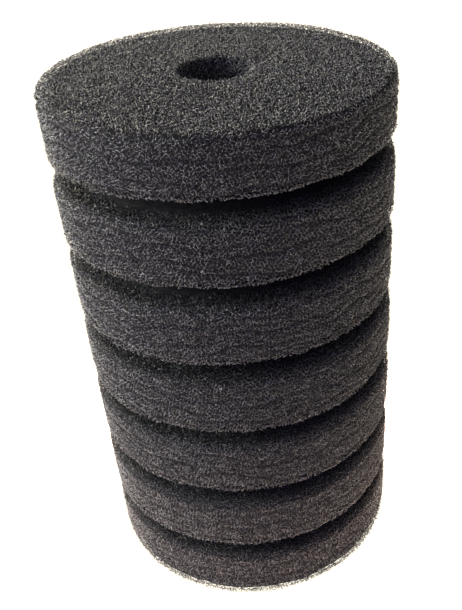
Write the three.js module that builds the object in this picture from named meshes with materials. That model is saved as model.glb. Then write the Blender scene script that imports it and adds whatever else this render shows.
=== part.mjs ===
// Ribbed filter sponge: one block of open-cell foam. Ring grooves cut it into a stack of equal
// ribs that a narrower core holds together, and a straight bore runs down its axis for a lift tube.
// Each rib and each stretch of core between two ribs is a solid of its own, because a squeezed
// sponge closes its grooves one by one. Millimetres, +Z up, origin at the centre of the base.
import * as THREE from 'three';

// Driving sizes
const ribCount = 7;
const ribDiameter = 115;
const ribHeight = 20;
const grooveHeight = 8;
const coreDiameter = 75;
const boreDiameter = 25;
const rimRound = 1.5;

// Clearance at each cut between a rib and the core, where the real foam is whole
const cutGap = 0.3;

// Faceting: sides round the axis, and chords in a quarter of rim round
const roundSides = 48;
const rimChords = 2;

// Sizes that follow from them
const ribPitch = ribHeight + grooveHeight;
const neckHeight = grooveHeight - 2 * cutGap;

// Charcoal reticulated polyurethane; the core is a shade darker because it lies in the grooves
const ribFoam = { color: 0x3a393d, roughness: 0.95, metalness: 0 };
const neckFoam = { color: 0x2b2a2e, roughness: 1, metalness: 0 };

/** A quarter round on a rib's outer edge, from one face of the rib to the other as it turns. */
function rimPoints(centreRadius, centreHeight, startAngle) {
  const points = [];
  for (let chord = 0; chord <= rimChords; chord += 1) {
    const angle = startAngle + (chord / rimChords) * (Math.PI / 2);
    const radius = centreRadius + rimRound * Math.cos(angle);
    const height = centreHeight + rimRound * Math.sin(angle);
    points.push(new THREE.Vector2(radius, height));
  }
  return points;
}

/** Half section of a rib: a flat disc on its lower face, with rounded outer edges and the bore. */
function ribSection() {
  const boreRadius = boreDiameter / 2;
  const rimCentre = ribDiameter / 2 - rimRound;
  return [
    new THREE.Vector2(boreRadius, 0),
    ...rimPoints(rimCentre, rimRound, -Math.PI / 2),
    ...rimPoints(rimCentre, ribHeight - rimRound, 0),
    new THREE.Vector2(boreRadius, ribHeight),
    new THREE.Vector2(boreRadius, 0),
  ];
}

/** Half section of the core in one groove: a plain ring between two ribs, round the same bore. */
function neckSection() {
  const boreRadius = boreDiameter / 2;
  const neckRadius = coreDiameter / 2;
  return [
    new THREE.Vector2(boreRadius, 0),
    new THREE.Vector2(neckRadius, 0),
    new THREE.Vector2(neckRadius, neckHeight),
    new THREE.Vector2(boreRadius, neckHeight),
    new THREE.Vector2(boreRadius, 0),
  ];
}

/** A ring of foam: a half section turned about the sponge's axis, lying at the given height. */
function foamRing(name, section, foam, height) {
  const lathe = new THREE.LatheGeometry(section, roundSides);
  lathe.rotateX(Math.PI / 2);
  const ring = new THREE.Mesh(lathe, new THREE.MeshStandardMaterial(foam));
  ring.name = name;
  ring.position.z = height;
  return ring;
}

/** Rib number 1 stands on the ground and the last one carries the top face. */
function rib(number) {
  return foamRing(`rib_${number}`, ribSection(), ribFoam, (number - 1) * ribPitch);
}

/** Neck number n is the core between rib n and the rib above it. */
function neck(number) {
  const height = (number - 1) * ribPitch + ribHeight + cutGap;
  return foamRing(`neck_${number}`, neckSection(), neckFoam, height);
}

const sponge = new THREE.Group();
for (let number = 1; number <= ribCount; number += 1) {
  sponge.add(rib(number));
}
for (let number = 1; number < ribCount; number += 1) {
  sponge.add(neck(number));
}

export default sponge;
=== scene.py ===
"""Ribbed filter sponge: a block of open-cell foam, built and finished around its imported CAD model.

The sponge is reticulated polyurethane: a net of thin struts, four of them meeting at each joint,
with nothing but air between them. Its cut faces are made here as that net, from the joints and
struts of an irregular froth, sliced where the blade went. Behind the net lies a darker heart of
foam, for the depth where single struts can no longer be told apart. Metres, +Z up.
"""
import logging
import math
from dataclasses import dataclass, field
from enum import Enum

import bpy
import numpy as np
from mathutils import Euler, Matrix, Vector, noise


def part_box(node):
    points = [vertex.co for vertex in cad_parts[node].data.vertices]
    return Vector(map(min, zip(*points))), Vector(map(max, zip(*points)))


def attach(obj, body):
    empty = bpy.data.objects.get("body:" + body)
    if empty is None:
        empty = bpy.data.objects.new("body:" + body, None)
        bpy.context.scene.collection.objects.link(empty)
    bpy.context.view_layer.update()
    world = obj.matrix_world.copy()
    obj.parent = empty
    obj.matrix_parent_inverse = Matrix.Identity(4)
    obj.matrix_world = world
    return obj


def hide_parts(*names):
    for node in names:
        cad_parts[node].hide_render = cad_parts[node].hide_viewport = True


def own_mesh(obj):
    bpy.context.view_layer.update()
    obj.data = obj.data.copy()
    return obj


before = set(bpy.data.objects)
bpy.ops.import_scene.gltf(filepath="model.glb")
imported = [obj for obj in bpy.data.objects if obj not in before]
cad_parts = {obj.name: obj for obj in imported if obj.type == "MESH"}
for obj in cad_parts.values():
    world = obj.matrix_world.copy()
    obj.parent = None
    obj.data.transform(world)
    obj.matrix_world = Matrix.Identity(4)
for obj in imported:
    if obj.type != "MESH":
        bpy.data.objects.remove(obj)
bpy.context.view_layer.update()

MM = 0.001
TINY = 1e-9  # keeps a division clear of nought

log = logging.getLogger("sponge")


# ---------------------------------------------------------------- small helpers


def linear(hex_colour: str) -> tuple[float, float, float, float]:
    """Turn an sRGB hex colour into linear RGBA.

    Args:
        hex_colour: six hex digits, with or without a leading #.

    Returns:
        Red, green, blue and an alpha of 1, as a shader socket takes them.
    """
    digits = hex_colour.lstrip("#")
    channels = [int(digits[k:k + 2], 16) / 255 for k in (0, 2, 4)]
    bent = [c / 12.92 if c <= 0.04045 else ((c + 0.055) / 1.055) ** 2.4 for c in channels]
    return (*bent, 1.0)


def add_node(tree: bpy.types.NodeTree, kind: str, settings: dict | None = None,
             links: dict | None = None) -> bpy.types.Node:
    """Add one shader node with its settings and its incoming links.

    Args:
        tree: the node tree to add to.
        kind: the node's bl_idname, such as "ShaderNodeTexNoise".
        settings: properties by name, or values of unlinked inputs by name or index.
        links: for an input's name or index, the output socket that feeds it.

    Returns:
        The new node.
    """
    node = tree.nodes.new(kind)
    for name, value in (settings or {}).items():
        if isinstance(name, str) and hasattr(node, name):
            setattr(node, name, value)
        else:
            node.inputs[name].default_value = value
    for name, socket in (links or {}).items():
        tree.links.new(socket, node.inputs[name])
    return node


def new_mesh(name: str, corners: np.ndarray, quads: np.ndarray,
             triangles: np.ndarray | None = None) -> bpy.types.Object:
    """Make a smooth mesh object from arrays.

    Args:
        name: the object's name.
        corners: one row of x, y, z for each vertex, in metres.
        quads: four vertex numbers for each four-sided face.
        triangles: three vertex numbers for each three-sided face, if there are any.

    Returns:
        The object, linked to the scene.
    """
    if triangles is None:
        triangles = np.empty((0, 3), int)
    mesh = bpy.data.meshes.new(name)
    mesh.vertices.add(len(corners))
    mesh.vertices.foreach_set("co", corners.astype(np.float32).ravel())
    loops = np.concatenate([quads.ravel(), triangles.ravel()]).astype(np.int32)
    mesh.loops.add(len(loops))
    mesh.loops.foreach_set("vertex_index", loops)
    starts = np.concatenate([np.arange(len(quads)) * 4,
                             quads.size + np.arange(len(triangles)) * 3]).astype(np.int32)
    mesh.polygons.add(len(starts))
    mesh.polygons.foreach_set("loop_start", starts)
    mesh.update(calc_edges=True)
    mesh.shade_smooth()
    piece = bpy.data.objects.new(name, mesh)
    bpy.context.scene.collection.objects.link(piece)
    return piece


# ---------------------------------------------------------------- the froth


class Kelvin:
    """Kelvin's packing: the joints and struts of a froth at rest, for one cube of its lattice."""

    def __init__(self) -> None:
        """Find the cube's joints, and for each one the four joints that its struts reach."""
        # Six of the twelve joints in quarters of the cube; the rest are their mirror images.
        quarter_turns = [(0, 1, 2), (0, 3, 2), (1, 0, 2), (3, 0, 2), (1, 2, 0), (3, 2, 0)]
        swapped = [(x, z, y) if x == 0 else (z, y, x) if y == 0 else (y, x, z)
                   for x, y, z in quarter_turns]
        self.joints = np.array(quarter_turns + swapped) / 4
        steps = np.array([(x, y, z) for x in (-1, 0, 1) for y in (-1, 0, 1) for z in (-1, 0, 1)])
        reach, close = math.sqrt(2) / 4, 1e-6
        self.struts = []
        for joint in self.joints:
            away = self.joints[None] + steps[:, None] - joint
            near = np.abs(np.linalg.norm(away, axis=2) - reach) < close
            self.struts.append([(other, *steps[step]) for step, other in np.argwhere(near)])


@dataclass(frozen=True)
class FoamGrade:
    """How coarse the foam is: about twenty pores to the inch.

    Attributes:
        cell: one cube of the froth's lattice; the pores lie 0.87 of it apart, which is 1.3 mm.
        strut: how thick a strut is.
        shell: how deep the net goes below a cut face.
        margin: how far round the shell the lattice is laid out, in cubes.
        tip: how the lattice is tipped against the cut faces, in radians, so that it never lines
            up with them; each ring's number adds to its last turn.
        unrest: how far each joint strays from its place, in cubes.
        sway: how far whole patches of joints stray together, in cubes.
        sway_length: how far apart such patches are.
        stub: the shortest cut strut, as a share of a whole one.
        proud: how far past the blade a cut strut springs back, as a share of a whole one.
    """

    cell: float = 1.5 * MM
    strut: float = 0.2 * MM
    shell: float = 0.92 * MM
    margin: float = 1.3
    tip: tuple[float, float, float] = (0.5, 0.35, 0.6)
    unrest: float = 0.12
    sway: float = 0.25
    sway_length: float = 7.0 * MM
    stub: float = 0.1
    proud: float = 0.4


@dataclass(frozen=True)
class Shown:
    """Which cut faces of a ring can be seen.

    Attributes:
        top: how far in from the rim the upper face is seen.
        bottom: how far in from the rim the lower face is seen.
        bore: whether the bore is seen.
        fade: over what distance the net grows thinner, where a face goes out of sight.
    """

    top: float = 0.0
    bottom: float = 0.0
    bore: bool = False
    fade: float = 2.0 * MM

    def inward(self, reach: float, in_from_rim: np.ndarray) -> np.ndarray:
        """Say how fully a face shows at each place.

        Args:
            reach: how far in from the rim the face shows.
            in_from_rim: how far in each place is.

        Returns:
            One near the rim, fading to nought where the face is out of sight.
        """
        return np.clip((reach - in_from_rim) / self.fade, 0, 1)


@dataclass(frozen=True)
class Wave:
    """A wave that runs round a ring.

    Attributes:
        count: how often it swings in one turn of the ring.
        share: how strong it is.
        offset: how many of the ring's own turns further round it starts.
        climb: how many radians it moves on in a metre of height.
    """

    count: int
    share: float = 1.0
    offset: float = 1.0
    climb: float = 0.0

    def at(self, angle: np.ndarray, height: np.ndarray, turn: float) -> np.ndarray:
        """Find the wave's height round the ring, which starts a turn further on."""
        return self.share * np.sin(self.count * angle + self.offset * turn + self.climb * height)


@dataclass(frozen=True)
class CutRing:
    """A ring of foam, as the blade leaves it: flat faces, rounded rims and a round bore.

    Attributes:
        outer: the ring's outer radius.
        bore: the bore's radius.
        bottom: the lower face's height above the ground.
        top: the upper face's height on the axis.
        upper_rim: how far the upper rim is rounded.
        lower_rim: how far the lower rim is rounded.
        seed: the ring's number, which makes its cuts its own.
        lean_right: how steeply the upper face rises to the right.
        lean_back: how steeply the upper face rises to the back.
        side_painted_light: how pale the cut ends on the side are painted, from 0 to 1: partly the
            paler raw foam, partly a painted highlight for their glints; on a neck, low, a painted
            shade.
        face_painted_light: how pale the cut ends on the faces are painted; low in the grooves, a
            painted shade where the rib above shades the face.
        bore_end_painted_light: how pale the cut ends deep in the bore are painted, a painted light set
            against the bore's shade.
        wall_painted_light: how pale the whole struts of the bore's wall are painted, paler further
            down, a painted light against the bore's shade.
        wall: how deep that wall is.
        grip: how far above the lower face the bore's net stops, so that it clears the neck.
        swell: how far the soft side swells past its nominal radius.
        waver: how far the blade wavers in and out.
        waves: how it wavers round the ring.
        blade_step: the distance between the blade's marks.
        blade_marks: how deep the marks are.
        wander: how the marks wander up and down the side, in halves of their step.
        strength: how a mark grows fainter along its way; its climb counts by marks.
        tear: how far whole cells are torn off or left standing.
        tear_size: how far apart the torn places are.
        tears: how many waves together make their pattern.
        tear_seed: keeps that pattern's random draws apart from the froth's.
        painted_light_span: over what distance in from the rim the painted shade on a face's cut ends
            deepens, and over what distance down the bore its painted light grows.
        mark_painted_shade: how much pale paint the cut ends lose at the bottom of a mark, a painted
            shade in the blade's marks.
        own_turn: how far round each ring starts its waves from the last, in radians.
    """

    outer: float
    bore: float
    bottom: float
    top: float
    upper_rim: float
    lower_rim: float
    seed: int
    lean_right: float = 0.0
    lean_back: float = 0.0
    side_painted_light: float = 1.0
    face_painted_light: float = 0.22
    bore_end_painted_light: float = 0.6
    wall_painted_light: float = 0.35
    wall: float = 2.0 * MM
    grip: float = 1.5 * MM
    swell: float = 0.25 * MM
    waver: float = 0.3 * MM
    waves: tuple[Wave, ...] = (Wave(2), Wave(5, share=0.6, offset=2.3, climb=90.0))
    blade_step: float = 3.0 * MM
    blade_marks: float = 1.1 * MM
    wander: tuple[Wave, ...] = (Wave(3, share=0.8), Wave(7, share=0.6, offset=2.0, climb=200.0),
                                Wave(17, share=0.4, offset=3.0))
    strength: Wave = Wave(5, share=0.45, climb=2.6)
    tear: float = 0.12 * MM
    tear_size: float = 2.2 * MM
    tears: int = 9
    tear_seed: int = 40
    painted_light_span: float = 3.5 * MM
    mark_painted_shade: float = 0.6
    own_turn: float = 1.7

    @property
    def turn(self) -> float:
        """How far round this ring starts its waves."""
        return self.own_turn * self.seed

    def edge(self, angle: np.ndarray, height: np.ndarray) -> np.ndarray:
        """Find how far the side lies from the axis, with the blade's waver and its marks.

        Args:
            angle: angles round the axis, in radians.
            height: heights above the ground, in metres.

        Returns:
            The side's radius at each place.
        """
        slow = sum(wave.at(angle, height, self.turn) for wave in self.waves)
        return (self.outer + self.swell - self.waver * (1 + slow / 2)
                - self.blade_marks * self.stroke(angle, height))

    def stroke(self, angle: np.ndarray, height: np.ndarray) -> np.ndarray:
        """Follow the marks that the blade left round the side.

        Args:
            angle: angles round the axis, in radians.
            height: heights above the ground, in metres.

        Returns:
            One at the bottom of a mark, nought between the marks.
        """
        wander = sum(wave.at(angle, height, self.turn) for wave in self.wander)
        row = height / self.blade_step + wander / 2
        mark = np.floor(row + 0.5)
        weight = 1 - self.strength.share + self.strength.at(angle, mark, self.turn)
        return weight * (0.5 + 0.5 * np.cos(2 * math.pi * row)) ** 2

    def painted_light_of_ends(self, points: np.ndarray) -> np.ndarray:
        """Say how pale the cut ends are painted: painted shade in grooves and marks, light in the
        bore.

        Args:
            points: one row of x, y, z for each cut end.

        Returns:
            A share of the full pale paint for each end.
        """
        angle = np.arctan2(points[:, 1], points[:, 0])
        radius = np.hypot(points[:, 0], points[:, 1])
        # Painted shade: the cut ends grow darker inward from the rim onto the faces, where the rib
        # above shades the grooves, and at the bottom of each blade mark.
        inward = np.clip((self.edge(angle, points[:, 2]) - radius) / self.painted_light_span, 0, 1)
        marks = self.mark_painted_shade * self.stroke(angle, points[:, 2]) * (1 - inward)
        pale = (self.side_painted_light + (self.face_painted_light - self.side_painted_light) * inward) * (1 - marks)
        # Painted light: deep in the bore the cut ends take a set pale paint, against its shade.
        return np.where(radius < self.bore + self.swell + self.tear,
                        pale + (self.bore_end_painted_light - pale) * self.down_bore(points), pale)

    def down_bore(self, points: np.ndarray) -> np.ndarray:
        """Say how far below the bore's mouth points lie: nought at the mouth, one well inside."""
        return np.clip((self.lid(points) - points[:, 2]) / self.painted_light_span, 0, 1)

    def painted_bore_wall(self, points: np.ndarray) -> np.ndarray:
        """Say how pale whole struts are painted: only the bore's wall, as painted light down the bore.

        Args:
            points: one row of x, y, z for each corner of a joint.

        Returns:
            The share of full pale paint for each corner.
        """
        radius = np.hypot(points[:, 0], points[:, 1])
        # Painted light: the bore's wall is painted paler the further down it lies, against its shade.
        return np.where(radius < self.bore + self.wall, self.wall_painted_light * self.down_bore(points), 0)

    def lid(self, points: np.ndarray) -> np.ndarray:
        """Find the height of the upper face, which may have been cut a little out of square.

        Args:
            points: one row of x, y, z for each point.

        Returns:
            The face's height over or under each point.
        """
        return self.top + self.lean_right * points[:, 0] + self.lean_back * points[:, 1]

    def torn(self, points: np.ndarray) -> np.ndarray:
        """Find how much the blade tore off or left standing, cell by cell.

        Args:
            points: one row of x, y, z for each point.

        Returns:
            A height for each point, above nought where a cell stands proud.
        """
        rng = np.random.default_rng(self.seed + self.tear_seed)
        waves = rng.normal(size=(3, self.tears))
        waves *= 2 * math.pi / self.tear_size / np.linalg.norm(waves, axis=0)
        ripple = np.sin(points @ waves + rng.uniform(0, 2 * math.pi, self.tears))
        return self.tear * ripple.sum(1) / 2

    def depth(self, points: np.ndarray) -> np.ndarray:
        """Measure how deep points lie under the nearest cut face; below zero is outside.

        Args:
            points: one row of x, y, z for each point.

        Returns:
            The depth of each point, in metres.
        """
        radius = np.hypot(points[:, 0], points[:, 1])
        angle = np.arctan2(points[:, 1], points[:, 0])
        height = points[:, 2]
        upper = height > (self.top + self.bottom) / 2
        rim = np.where(upper, self.upper_rim, self.lower_rim)
        past_side = radius - (self.edge(angle, height) - rim)
        past_face = np.where(upper, height - self.lid(points), self.bottom - height) + rim
        corner = np.hypot(np.maximum(past_side, 0), np.maximum(past_face, 0))
        outside = corner + np.minimum(np.maximum(past_side, past_face), 0) - rim
        return np.minimum(-outside, radius - self.bore) + self.torn(points)

    def shows(self, points: np.ndarray, shown: Shown, thickness: float) -> np.ndarray:
        """Say which points lie in the thickness of foam behind a face that shows.

        Args:
            points: one row of x, y, z for each point.
            shown: which faces show.
            thickness: how deep the eye sees into the foam.

        Returns:
            True or false for each point.
        """
        radius = np.hypot(points[:, 0], points[:, 1])
        angle = np.arctan2(points[:, 1], points[:, 0])
        at_side = self.edge(angle, points[:, 2]) - radius < thickness
        over_top = shown.inward(shown.top, self.outer - radius)
        over_bottom = shown.inward(shown.bottom, self.outer - radius)
        under_lid = self.lid(points) - points[:, 2] < thickness * over_top
        on_base = points[:, 2] - self.bottom < thickness * over_bottom
        in_bore = shown.bore & (radius - self.bore < thickness)
        in_bore &= points[:, 2] - self.bottom > self.grip
        return at_side | (under_lid & (over_top > 0)) | (on_base & (over_bottom > 0)) | in_bore


@dataclass
class Froth:
    """The irregular froth of one ring.

    Attributes:
        ring: the ring that it fills.
        shown: which of the ring's faces are seen.
        grade: how coarse it is.
        seed: the number that its random draws start from.
        points: where its joints are, one row of x, y, z for each.
        reached: the four joints that each joint's struts reach.
        depths: how deep each joint lies in the ring.
        kept: which joints belong to the net.
    """

    ring: CutRing
    shown: Shown
    grade: FoamGrade
    seed: int
    points: np.ndarray = field(init=False)
    reached: np.ndarray = field(init=False)
    depths: np.ndarray = field(init=False)
    kept: np.ndarray = field(init=False)

    def __post_init__(self) -> None:
        """Lay out the lattice where the net is wanted, disturb it, and mark the joints to keep."""
        kelvin = Kelvin()
        cubes, counts, turn, middle = self.cubes_in_shell()
        self.points = self.disturbed(kelvin, cubes, counts, turn, middle)
        self.reached = self.neighbours(kelvin, cubes, counts)
        self.depths = self.ring.depth(self.points)
        whole = (self.reached >= 0).all(axis=1)
        shows = self.ring.shows(self.points, self.shown, self.grade.shell)
        self.kept = whole & shows & (self.depths > 0)

    def cubes_in_shell(self) -> tuple[np.ndarray, np.ndarray, np.ndarray, np.ndarray]:
        """Choose the lattice's cubes that lie in the shell.

        Returns:
            The cubes' places in the lattice, the lattice's counts along its three directions, the
            turn that tips it against the cut faces, and the ring's middle.
        """
        ring, cell, tip = self.ring, self.grade.cell, self.grade.tip
        turn = np.array(Euler((tip[0], tip[1], tip[2] + self.seed)).to_matrix())
        middle = np.array((0, 0, (ring.bottom + ring.top) / 2))
        half = np.array((ring.outer, ring.outer, (ring.top - ring.bottom) / 2)) + 2 * cell
        counts = np.ceil(np.abs(turn.T) @ half * 2 / cell).astype(int) + 2
        cubes = np.stack(np.meshgrid(*[np.arange(k) for k in counts], indexing="ij"), -1)
        cubes = cubes.reshape(-1, 3)
        centres = (cubes + 0.5 - counts / 2) * cell @ turn.T + middle
        margin = self.grade.margin * cell
        near = ring.shows(centres, self.shown, self.grade.shell + margin)
        inside = near & (ring.depth(centres) > -margin)
        return cubes[inside], counts, turn, middle

    def disturbed(self, kelvin: Kelvin, cubes: np.ndarray, counts: np.ndarray, turn: np.ndarray,
                  middle: np.ndarray) -> np.ndarray:
        """Place the joints, each a little off its place in the lattice, as in a real froth.

        Args:
            kelvin: the lattice's unit.
            cubes: the chosen cubes.
            counts: the lattice's counts.
            turn: the lattice's turn.
            middle: the ring's middle.

        Returns:
            One row of x, y, z for each joint.
        """
        grade, rng = self.grade, np.random.default_rng(self.seed)
        places = (cubes[:, None] + kelvin.joints[None]).reshape(-1, 3) - counts / 2
        places = places + rng.normal(0, grade.unrest, places.shape)
        points = places * grade.cell @ turn.T + middle
        # Each direction sways with the other two, out of step, so that no pattern lines up.
        x, y, z = (points / grade.sway_length * 2 * math.pi).T
        sway = np.stack([np.sin(y + 0.6 * z), np.sin(z + 0.7 * x + 1), np.sin(x + 0.5 * y + 2)], -1)
        return points + sway * grade.sway * grade.cell

    def neighbours(self, kelvin: Kelvin, cubes: np.ndarray, counts: np.ndarray) -> np.ndarray:
        """Number the four joints that each joint's struts reach, or -1 past the chosen cubes.

        Args:
            kelvin: the lattice's unit.
            cubes: the chosen cubes.
            counts: the lattice's counts.

        Returns:
            Four joint numbers for each joint.
        """
        places = np.full(counts, -1)
        places[tuple(cubes.T)] = np.arange(len(cubes))
        padded = np.pad(places, 1, constant_values=-1)
        reached = np.empty((len(cubes), len(kelvin.joints), 4), int)
        for joint, struts in enumerate(kelvin.struts):
            for strut, (other, *step) in enumerate(struts):
                cube = padded[tuple((cubes + step + 1).T)]
                reached[:, joint, strut] = np.where(cube < 0, -1, cube * len(kelvin.joints) + other)
        return reached.reshape(-1, 4)


class StrutNet:
    """The net itself: a small tetrahedron at each joint, and a three-sided strut from each face."""

    # A tetrahedron's faces, each named by the corner that it lies across from.
    FACES = np.array([(1, 2, 3), (0, 2, 3), (0, 1, 3), (0, 1, 2)])

    def __init__(self, froth: Froth) -> None:
        """Make the joints and struts of a froth.

        Args:
            froth: the joints, and which ones to keep.
        """
        self.froth = froth
        self.chosen = np.flatnonzero(froth.kept)
        here = froth.points[self.chosen][:, None]
        there = froth.points[froth.reached[self.chosen]]
        self.aims = there - here
        lengths = np.maximum(np.linalg.norm(self.aims, axis=2, keepdims=True), TINY)
        # A tetrahedron's edge is this much longer than the way from its middle to a corner.
        half_width = froth.grade.strut / math.sqrt(8 / 3)
        self.corners = here - self.aims / lengths * half_width

    def facing(self, joints: np.ndarray, struts: np.ndarray, along: np.ndarray) -> np.ndarray:
        """Number the corners of the face that a strut leaves by, turning right round its aim.

        Args:
            joints: numbers of the joints, among the kept ones.
            struts: which of its four struts, for each joint.
            along: the direction to turn round.

        Returns:
            Three corner numbers, from 0 to 3, for each joint.
        """
        face = self.FACES[struts]
        a, b, c = (self.corners[joints, face[:, k]] for k in range(3))
        wrong = np.einsum("ij,ij->i", np.cross(b - a, c - a), along) < 0
        face[wrong] = face[wrong][:, [0, 2, 1]]
        return face

    def sides(self, near: np.ndarray, far: np.ndarray) -> np.ndarray:
        """Join two triangles of vertex numbers with three four-sided faces."""
        turned = [(near[:, k], near[:, (k + 1) % 3], far[:, (k + 1) % 3], far[:, k]) for k in range(3)]
        return np.concatenate([np.stack(side, 1) for side in turned])

    def whole_struts(self) -> np.ndarray:
        """Make the struts that run from one kept joint to another.

        Returns:
            Their four-sided faces, as numbers of the joints' corners.
        """
        froth = self.froth
        number = np.full(len(froth.points), -1)
        number[self.chosen] = np.arange(len(self.chosen))
        ends = number[froth.reached[self.chosen]]
        start, strut = np.nonzero(ends > np.arange(len(self.chosen))[:, None])
        end = ends[start, strut]
        back = np.argmax(froth.reached[self.chosen[end]] == self.chosen[start][:, None], axis=1)
        along = self.aims[start, strut]
        near = self.facing(start, strut, along)
        far = self.facing(end, back, along)
        near_at = self.corners[start[:, None], near]
        gaps = [((self.corners[end[:, None], np.roll(far, -k, 1)] - near_at) ** 2).sum((1, 2))
                for k in range(3)]
        shift = np.argmin(gaps, axis=0)
        far = np.take_along_axis(far, (np.arange(3) + shift[:, None]) % 3, axis=1)
        return self.sides(start[:, None] * 4 + near, end[:, None] * 4 + far)

    def cut_struts(self) -> tuple[np.ndarray, np.ndarray, np.ndarray]:
        """Make the struts that the blade cut, each from its joint to the cut face.

        Returns:
            The cut ends' vertices, the struts' four-sided faces and their cut ends.
        """
        froth = self.froth
        beyond = froth.depths[froth.reached[self.chosen]]
        start, strut = np.nonzero(beyond <= 0)
        inside = froth.depths[self.chosen[start]]
        share = inside / (inside - beyond[start, strut])
        spread = np.random.default_rng(froth.seed + 1).uniform(0, froth.grade.proud, len(share))
        along = self.aims[start, strut]
        near = self.facing(start, strut, along)
        reach = along * np.clip(share + spread, froth.grade.stub, 1)[:, None]
        cut = self.corners[start[:, None], near] + reach[:, None]
        far = 4 * len(self.chosen) + np.arange(3 * len(start)).reshape(-1, 3)
        return cut.reshape(-1, 3), self.sides(start[:, None] * 4 + near, far), far

    def deep_ends(self) -> np.ndarray:
        """Close the joints where the net stops, towards the heart of the foam.

        Returns:
            Three-sided faces, as numbers of the joints' corners.
        """
        froth = self.froth
        goes_on = froth.kept[froth.reached[self.chosen]]
        outside = froth.depths[froth.reached[self.chosen]] <= 0
        start, strut = np.nonzero(~goes_on & ~outside)
        face = self.facing(start, strut, self.aims[start, strut])
        return start[:, None] * 4 + face

    def piece(self, name: str) -> bpy.types.Object:
        """Make the net as one object, which carries the painted highlight and painted shade of each
        corner.

        Args:
            name: the object's name.

        Returns:
            The object.
        """
        cut_points, cut_sides, cut_ends = self.cut_struts()
        corners = np.concatenate([self.corners.reshape(-1, 3), cut_points])
        quads = np.concatenate([self.whole_struts(), cut_sides])
        triangles = np.concatenate([cut_ends, self.deep_ends()])
        piece = new_mesh(name, corners, quads, triangles)
        # Painted highlight and shade: the attribute carries the pale paint of the cut ends, darker in
        # the shaded grooves, marks and necks, and paler on the bore's wall.
        tip = piece.data.attributes.new("raw_ends_and_painted_light", "FLOAT", "POINT")
        ring = self.froth.ring
        whole, pale = ring.painted_bore_wall(self.corners.reshape(-1, 3)), ring.painted_light_of_ends(cut_points)
        tip.data.foreach_set("value", np.concatenate([whole, pale]))
        return piece


# ---------------------------------------------------------------- the heart behind the net


@dataclass(frozen=True)
class Heart:
    """The foam behind the net: a ring a little inside the cut faces, pitted like foam.

    Attributes:
        ring: the ring as it is cut.
        shown: which of its faces are seen.
        sunk: how far the heart lies behind a face that is seen.
        hidden: how far it lies behind a face that isn't.
        chamfer: how far its upper corner is cut away, where light passes through the thin net.
        spacing: the distance between its points.
        pits: how deep its surface is pitted.
        pit_size: how far apart the pits are.
        pit_bias: how far the pits sink more than they rise.
        marked_from: how far in from the side the blade's marks begin to show.
        marked_over: over what distance they reach their full depth.
    """

    ring: CutRing
    shown: Shown
    sunk: float = 1.3 * MM
    chamfer: float = 1.6 * MM
    hidden: float = 0.25 * MM
    spacing: float = 1.4 * MM
    pits: float = 0.35 * MM
    pit_size: float = 1.5 * MM
    pit_bias: float = 0.3
    marked_from: float = 4 * MM
    marked_over: float = 2 * MM

    def outline(self) -> np.ndarray:
        """Walk round the ring's section, from the bottom of the bore outwards and back.

        Returns:
            Radius and height of each point, about one spacing apart.
        """
        ring, shown = self.ring, self.shown
        bore = ring.bore + (self.sunk if shown.bore else self.hidden)
        side, slant = ring.outer - self.sunk, self.chamfer if shown.top else 0.0
        turns = [(bore, ring.bottom), (side, ring.bottom), (side, ring.top - self.sunk - slant),
                 (side - slant, ring.top - self.sunk), (side - slant, ring.top), (bore, ring.top)]
        points = []
        for (r0, z0), (r1, z1) in zip(turns, turns[1:] + turns[:1]):
            steps = max(1, round(math.hypot(r1 - r0, z1 - z0) / self.spacing))
            points += [(r0 + (r1 - r0) * k / steps, z0 + (z1 - z0) * k / steps) for k in range(steps)]
        radius, height = np.array(points).T
        deeper = self.sunk - self.hidden
        under = self.hidden + deeper * shown.inward(shown.top, ring.outer - radius)
        over = self.hidden + deeper * shown.inward(shown.bottom, ring.outer - radius)
        return np.stack([radius, np.clip(height, ring.bottom + over, ring.top - under)], 1)

    def piece(self, name: str) -> bpy.types.Object:
        """Turn the section about the axis, follow the blade's marks and pit the surface.

        Args:
            name: the object's name.

        Returns:
            The object.
        """
        ring, outline = self.ring, self.outline()
        rows, columns = len(outline), round(2 * math.pi * ring.outer / self.spacing)
        angle, radius = np.meshgrid(np.arange(columns) / columns * 2 * math.pi, outline[:, 0],
                                    indexing="ij")
        height = np.broadcast_to(outline[:, 1], radius.shape)
        inset = ring.outer - ring.edge(angle, height)
        marked = np.clip((radius - ring.outer + self.marked_from) / self.marked_over, 0, 1)
        radius = radius - inset * marked
        points = np.stack([np.cos(angle) * radius, np.sin(angle) * radius, height], -1).reshape(-1, 3)
        rise = np.array([noise.noise(Vector(point) / self.pit_size) for point in points])
        # Outwards from the middle of the section, by way of the nearer of its faces.
        middle = np.array([(ring.bore + ring.outer) / 2, (ring.bottom + ring.top) / 2])
        out = np.stack([radius.ravel() - middle[0], points[:, 2] - middle[1]], 1)
        out /= np.maximum(np.abs(out) / (np.ptp(outline, axis=0) / 2), TINY).max(1, keepdims=True)
        out /= np.linalg.norm(out, axis=1, keepdims=True)
        shift = (rise - self.pit_bias) * self.pits
        share = np.clip((points[:, 2] - ring.bottom) / (ring.top - ring.bottom), 0, 1)
        points[:, 2] += (ring.lid(points) - ring.top) * share
        points[:, 2] += shift * out[:, 1]
        around = angle.ravel()
        points[:, 0] += shift * out[:, 0] * np.cos(around)
        points[:, 1] += shift * out[:, 0] * np.sin(around)
        here = np.arange(columns)[:, None] * rows + np.arange(rows)[None]
        right, up = np.roll(here, -1, 0), np.roll(here, -1, 1)
        quads = np.stack([here, right, np.roll(right, -1, 1), up], -1).reshape(-1, 4)
        return new_mesh(name, points, quads)


# ---------------------------------------------------------------- finishes


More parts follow.
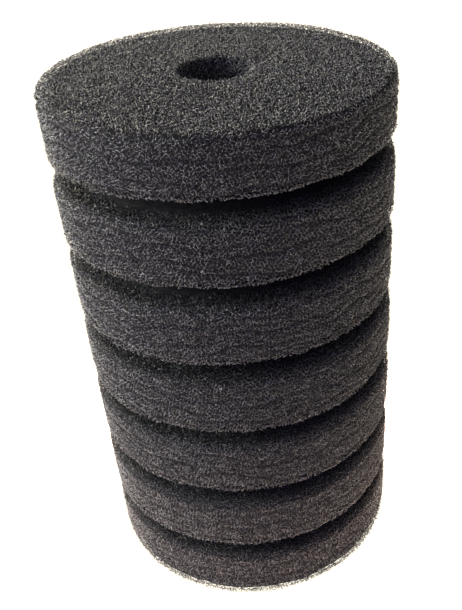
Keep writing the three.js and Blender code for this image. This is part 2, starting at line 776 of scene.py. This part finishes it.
@dataclass(frozen=True)
class ReticulatedFoam:
    """Reticulated polyurethane, dyed charcoal in the bun: its struts are smooth, so they glint.

    Where the blade went through a strut, its end is painted pale: partly the paler raw foam,
    partly a painted highlight that stands in for the glints of the cut ends.

    Attributes:
        name: the material's name.
        dark: the deepest dyed struts.
        light: the palest dyed struts.
        raw_end_and_glint: the painted colour of a cut strut's end, raw foam and painted highlight.
        roughness: how rough a strut's skin is.
        gloss: how strongly it reflects.
        patch: how large an evenly dyed patch is.
        uneven: the part of the noise that the two dyed shades are spread over.
    """

    name: str = "reticulated polyurethane, cut with a blade"
    dark: str = "#0c0b0d"
    light: str = "#1f1e21"
    raw_end_and_glint: str = "#979598"
    roughness: float = 0.3
    gloss: float = 0.8
    patch: float = 1.3 * MM
    uneven: tuple[float, float] = (0.35, 0.65)

    def material(self) -> bpy.types.Material:
        """Build the finish.

        Returns:
            A node material: dye that varies from strut to strut, and cut ends painted pale as
                highlights.
        """
        # The dye soaks in unevenly, pore by pore, so that no two struts are the same near black.
        material = bpy.data.materials.new(self.name)
        material.use_nodes = True
        tree = material.node_tree
        shader = tree.nodes["Principled BSDF"]
        place = add_node(tree, "ShaderNodeTexCoord")
        dye = add_node(tree, "ShaderNodeTexNoise", {"Scale": 1 / self.patch, "Detail": 2.0},
                       {"Vector": place.outputs["Object"]})
        low, high = self.uneven
        spread = add_node(tree, "ShaderNodeMapRange", {"From Min": low, "From Max": high},
                          {"Value": dye.outputs["Fac"]})
        strut = add_node(tree, "ShaderNodeMix",
                         {"data_type": "RGBA", 6: linear(self.dark), 7: linear(self.light)},
                         {0: spread.outputs["Result"]})
        # Painted highlight: the cut ends are painted as pale grey specks for their glints, partly the
        # paler raw foam, which is what tells a cut face from a skin. The attribute also carries
        # painted shade in the grooves, marks and necks, and painted light on the bore's wall.
        tip = add_node(tree, "ShaderNodeAttribute", {"attribute_name": "raw_ends_and_painted_light"})
        colour = add_node(tree, "ShaderNodeMix", {"data_type": "RGBA", 7: linear(self.raw_end_and_glint)},
                          {0: tip.outputs["Fac"], 6: strut.outputs[2]})
        tree.links.new(colour.outputs[2], shader.inputs["Base Color"])
        shader.inputs["Roughness"].default_value = self.roughness
        shader.inputs["Specular IOR Level"].default_value = self.gloss
        return material


@dataclass(frozen=True)
class DeepFoam:
    """The same foam further in, where struts cross over each other in the dark.

    Attributes:
        name: the material's name.
        pore: the dark between struts.
        strut: the faint lines of the struts.
        cell: how far apart the lines are.
        roughness: how rough it looks.
        gloss: how strongly it reflects.
        nets: the scale of each net of lines, and the lines' width as a share of a cell.
    """

    name: str = "reticulated polyurethane, deep"
    pore: str = "#17161a"
    strut: str = "#2c2b2f"
    cell: float = 1.7 * MM
    roughness: float = 0.8
    gloss: float = 0.2
    nets: tuple[tuple[float, float], ...] = ((1.0, 0.12), (0.62, 0.08))

    def material(self) -> bpy.types.Material:
        """Build the finish.

        Returns:
            A node material: the lines of two nets of cells, one behind the other, on near black.
        """
        # Deep in the foam the eye meets only faint lines in the dark. The cells are drawn a little
        # coarser than the 1.3 mm pores, which would blur to one grey.
        material = bpy.data.materials.new(self.name)
        material.use_nodes = True
        tree = material.node_tree
        shader = tree.nodes["Principled BSDF"]
        place = add_node(tree, "ShaderNodeTexCoord")
        lines = []
        for scale, width in self.nets:
            cells = add_node(tree, "ShaderNodeTexVoronoi",
                             {"feature": "DISTANCE_TO_EDGE", "Scale": scale / self.cell},
                             {"Vector": place.outputs["Object"]})
            lines.append(add_node(tree, "ShaderNodeMapRange",
                                  {"From Min": width, "From Max": 0.0},
                                  {"Value": cells.outputs["Distance"]}))
        both = add_node(tree, "ShaderNodeMath", {"operation": "MAXIMUM"},
                        {0: lines[0].outputs["Result"], 1: lines[1].outputs["Result"]})
        colour = add_node(tree, "ShaderNodeMix",
                          {"data_type": "RGBA", 6: linear(self.pore), 7: linear(self.strut)},
                          {0: both.outputs[0]})
        tree.links.new(colour.outputs[2], shader.inputs["Base Color"])
        shader.inputs["Roughness"].default_value = self.roughness
        shader.inputs["Specular IOR Level"].default_value = self.gloss
        return material


# ---------------------------------------------------------------- sub-assemblies


class Part(Enum):
    """Which ring of the sponge a piece is."""

    RIB = "rib"
    NECK = "neck"


@dataclass
class FoamRing:
    """One rib or neck: its net of struts, and the heart behind it.

    Attributes:
        part: whether it is a rib or a neck.
        number: its number, counted from the base up.
        grade: how coarse its foam is.
        band: how far in a rib's upper face is seen, under the rib above.
        under_band: how far in a rib's lower face is seen.
        under_rim: how far a rib's lower rim is rounded.
        rib_rim: how far a rib's upper rim is rounded.
        top_rim: how far the topmost rib's upper rim is rounded.
        neck_rim: how far a neck's rims are rounded.
        top_painted_light: how pale the cut ends on the top face are painted, paler than on the
            grooves' faces with their painted shade.
        neck_painted_shade: how pale the cut ends on a neck are painted: low, a painted shade in the
            groove.
        lean_right: how steeply the top face rises to the right, cut a little out of square.
        lean_back: how steeply the top face rises to the back.
        marks: how deep the blade's marks are, below the first rib.
        more_marks: how much deeper they are on each rib than on the last.
    """

    part: Part
    number: int
    grade: FoamGrade = FoamGrade()
    band: float = 11 * MM
    under_band: float = 3 * MM
    under_rim: float = 0.5 * MM
    rib_rim: float = 1.8 * MM
    top_rim: float = 2.2 * MM
    neck_rim: float = 0.2 * MM
    top_painted_light: float = 0.78
    neck_painted_shade: float = 0.3
    lean_right: float = -0.022
    lean_back: float = 0.018
    marks: float = 0.4 * MM
    more_marks: float = 0.1 * MM

    def __post_init__(self) -> None:
        """Take the ring's place and size from its CAD node."""
        self.node = f"{self.part.value}_{self.number}"
        self.body = f"rib_{self.number}"
        low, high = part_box(self.node)
        radii = [math.hypot(v.co.x, v.co.y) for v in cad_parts[self.node].data.vertices]
        shared = {"outer": max(radii), "bore": min(radii), "seed": self.number}
        if self.part is Part.NECK:
            below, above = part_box(self.body)[1].z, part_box(f"rib_{self.number + 1}")[0].z
            self.ring = CutRing(bottom=below, top=above, upper_rim=self.neck_rim,
                                lower_rim=self.neck_rim, side_painted_light=self.neck_painted_shade, **shared)
            self.shown = Shown()
        else:
            topmost = f"rib_{self.number + 1}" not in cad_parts
            self.ring = CutRing(bottom=low.z, top=high.z, lower_rim=self.under_rim,
                                blade_marks=self.marks + self.more_marks * self.number,
                                upper_rim=self.top_rim if topmost else self.rib_rim,
                                lean_right=self.lean_right if topmost else 0.0,
                                lean_back=self.lean_back if topmost else 0.0,
                                face_painted_light=self.top_painted_light if topmost else CutRing.face_painted_light, **shared)
            self.shown = Shown(top=2 * self.ring.outer if topmost else self.band,
                               bottom=self.under_band, bore=topmost)

    def build(self) -> None:
        """Make the net and the heart."""
        froth = Froth(self.ring, self.shown, self.grade, self.number)
        self.net = StrutNet(froth).piece(f"{self.node}_net")
        self.heart = Heart(self.ring, self.shown).piece(f"{self.node}_heart")

    def dress(self, struts: bpy.types.Material, deep: bpy.types.Material) -> None:
        """Give the pieces their finishes.

        Args:
            struts: the net's material.
            deep: the heart's material.
        """
        self.net.data.materials.append(struts)
        self.heart.data.materials.append(deep)

    def fit(self) -> None:
        """Put the pieces on their CAD body in the CAD node's place."""
        for piece in (self.heart, self.net):
            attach(piece, self.body)
            if self.part is Part.NECK:
                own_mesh(piece)
        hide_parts(self.node)
        log.info("%s: %d faces in its net, %d in its heart", self.node,
                 len(self.net.data.polygons), len(self.heart.data.polygons))


@dataclass(frozen=True)
class Lamp:
    """A square soft light that looks at the sponge.

    Attributes:
        name: the light's name.
        bearing: degrees round from the sponge's right, towards its back.
        climb: degrees above level.
        power: its power in watts.
        colour: its colour, sRGB hex.
    """

    name: str
    bearing: float
    climb: float
    power: float
    colour: str


@dataclass
class Studio:
    """A plain white table in even light, seen from above the sponge's front.

    Attributes:
        aim: the point that the camera looks at.
        distance: how far the camera is from it.
        elevation: how many degrees above level the camera looks from.
        roll: how many degrees the camera is tipped to one side.
        lens: its focal length in millimetres.
        sensor: its sensor's width in millimetres.
        table_size: the table's length and width.
        near_light: how brightly the table shines near the sponge.
        far_light: how brightly it shines further out, where its light falls on the sides.
        far_span: where the one passes into the other.
        ring_light: how brightly the ring round the foot shines.
        ring_inner: where that ring begins.
        ring_outer: where it ends.
        room_light: how brightly the room shines.
        lamp_size: how long and wide a lamp is.
        lamp_distance: how far a lamp hangs from the sponge.
        lamps: the lamps.
        pale: the table's colour.
        warm: the ring's colour.
        room: the room's colour.
    """

    aim: tuple[float, float, float] = (-2.2 * MM, 0.0, 97.1 * MM)
    distance: float = 293.1 * MM
    elevation: float = 33.05
    roll: float = -5.6
    lens: float = 44.97
    sensor: float = 36.0
    table_size: float = 6.0
    near_light: float = 1.3
    far_light: float = 1.7
    far_span: tuple[float, float] = (0.45, 0.9)
    ring_light: float = 5.0
    ring_inner: tuple[float, float] = (0.058, 0.072)
    ring_outer: tuple[float, float] = (0.09, 0.135)
    room_light: float = 0.12
    lamp_size: float = 0.45
    lamp_distance: float = 1.1
    lamps: tuple[Lamp, ...] = (Lamp("window", 180, 22, 20, "#fbfff3"),
                               Lamp("window_behind", 135, 28, 14, "#fff7da"),
                               Lamp("cool_fill", 225, 12, 4.4, "#b8aaff"),
                               Lamp("ceiling", 275, 55, 2.6, "#f0eeff"))
    pale: str = "#fff6e4"
    warm: str = "#ffe0cc"
    room: str = "#f0f2ff"

    def camera(self) -> None:
        """Set up the camera."""
        up_angle, tilt = math.radians(self.elevation), math.radians(self.roll)
        back = Vector((0, -math.cos(up_angle), math.sin(up_angle)))
        right = Vector((1, 0, 0))
        up = back.cross(right)
        across = right * math.cos(tilt) + up * math.sin(tilt)
        upward = up * math.cos(tilt) - right * math.sin(tilt)
        data = bpy.data.cameras.new("camera")
        data.lens, data.sensor_width = self.lens, self.sensor
        data.clip_start, data.clip_end = 10 * MM, 20.0
        camera = bpy.data.objects.new("camera", data)
        turn = Matrix((across, upward, back)).transposed().to_4x4()
        camera.matrix_world = Matrix.Translation(Vector(self.aim) + back * self.distance) @ turn
        bpy.context.scene.collection.objects.link(camera)
        bpy.context.scene.camera = camera

    def blend(self, away: bpy.types.Node, span: tuple[float, float], start: float,
              end: float) -> bpy.types.NodeSocket:
        """Pass smoothly from one value to another with the distance from the axis.

        Args:
            away: the node that gives that distance.
            span: the distances where the change begins and ends.
            start: the value inside the span.
            end: the value outside it.

        Returns:
            The socket that gives the value.
        """
        node = add_node(away.id_data, "ShaderNodeMapRange",
                        {"interpolation_type": "SMOOTHSTEP", "From Min": span[0], "From Max": span[1],
                         "To Min": start, "To Max": end}, {"Value": away.outputs["Value"]})
        return node.outputs["Result"]

    def table(self) -> None:
        """Lay a pale floor that is lit from within, brightest round the sponge's foot."""
        bpy.ops.mesh.primitive_plane_add(size=self.table_size, location=(0, 0, 0))
        floor = bpy.context.object
        floor.name = "floor"
        material = bpy.data.materials.new("white light table")
        material.use_nodes = True
        tree = material.node_tree
        tree.nodes.remove(tree.nodes["Principled BSDF"])
        place = add_node(tree, "ShaderNodeTexCoord")
        away = add_node(tree, "ShaderNodeVectorMath", {"operation": "LENGTH"},
                        {0: place.outputs["Object"]})
        ring = add_node(tree, "ShaderNodeMath", {"operation": "MULTIPLY"},
                        {0: self.blend(away, self.ring_outer, 1.0, 0.0),
                         1: self.blend(away, self.ring_inner, 0.0, 1.0)})
        tint = add_node(tree, "ShaderNodeMix",
                        {"data_type": "RGBA", 6: linear(self.pale), 7: linear(self.warm)},
                        {0: ring.outputs[0]})
        plain = self.blend(away, self.far_span, self.near_light, self.far_light)
        power = add_node(tree, "ShaderNodeMapRange", {"To Max": self.ring_light},
                         {"Value": ring.outputs[0], "To Min": plain})
        light = add_node(tree, "ShaderNodeEmission", {},
                         {"Color": tint.outputs[2], "Strength": power.outputs["Result"]})
        tree.links.new(light.outputs[0], tree.nodes["Material Output"].inputs["Surface"])
        floor.data.materials.append(material)

    def hang(self, lamp: Lamp) -> None:
        """Hang a lamp that looks at the sponge.

        Args:
            lamp: where it hangs, and how it shines.
        """
        data = bpy.data.lights.new(lamp.name, "AREA")
        data.size, data.energy = self.lamp_size, lamp.power
        data.color = linear(lamp.colour)[:3]
        light = bpy.data.objects.new(lamp.name, data)
        turn, rise = math.radians(lamp.bearing), math.radians(lamp.climb)
        out = Vector((math.cos(turn) * math.cos(rise), math.sin(turn) * math.cos(rise),
                      math.sin(rise)))
        light.location = Vector((0, 0, self.aim[2])) + out * self.lamp_distance
        light.rotation_euler = (-out).to_track_quat("-Z", "Y").to_euler()
        bpy.context.scene.collection.objects.link(light)

    def light(self) -> None:
        """Light the scene: windows on the left, a cool fill, a weak ceiling light and the room."""
        world = bpy.data.worlds.new("room")
        bpy.context.scene.world = world
        world.use_nodes = True
        room = world.node_tree.nodes["Background"]
        room.inputs["Color"].default_value = linear(self.room)
        room.inputs["Strength"].default_value = self.room_light
        for lamp in self.lamps:
            self.hang(lamp)
        bpy.context.scene.view_settings.view_transform = "Standard"

    def build(self) -> None:
        """Set up the whole studio."""
        self.camera()
        self.table()
        self.light()


def main() -> None:
    """Build the studio and the sponge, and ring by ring."""
    logging.basicConfig(level=logging.INFO, format="%(name)s: %(message)s")
    Studio().build()
    struts, deep = ReticulatedFoam().material(), DeepFoam().material()
    names = sorted(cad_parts)
    rings = [FoamRing(Part(name.split("_")[0]), int(name.split("_")[1])) for name in names]
    for ring in rings:
        ring.build()
        ring.dress(struts, deep)
        ring.fit()


if __name__ == "__main__":
    main()
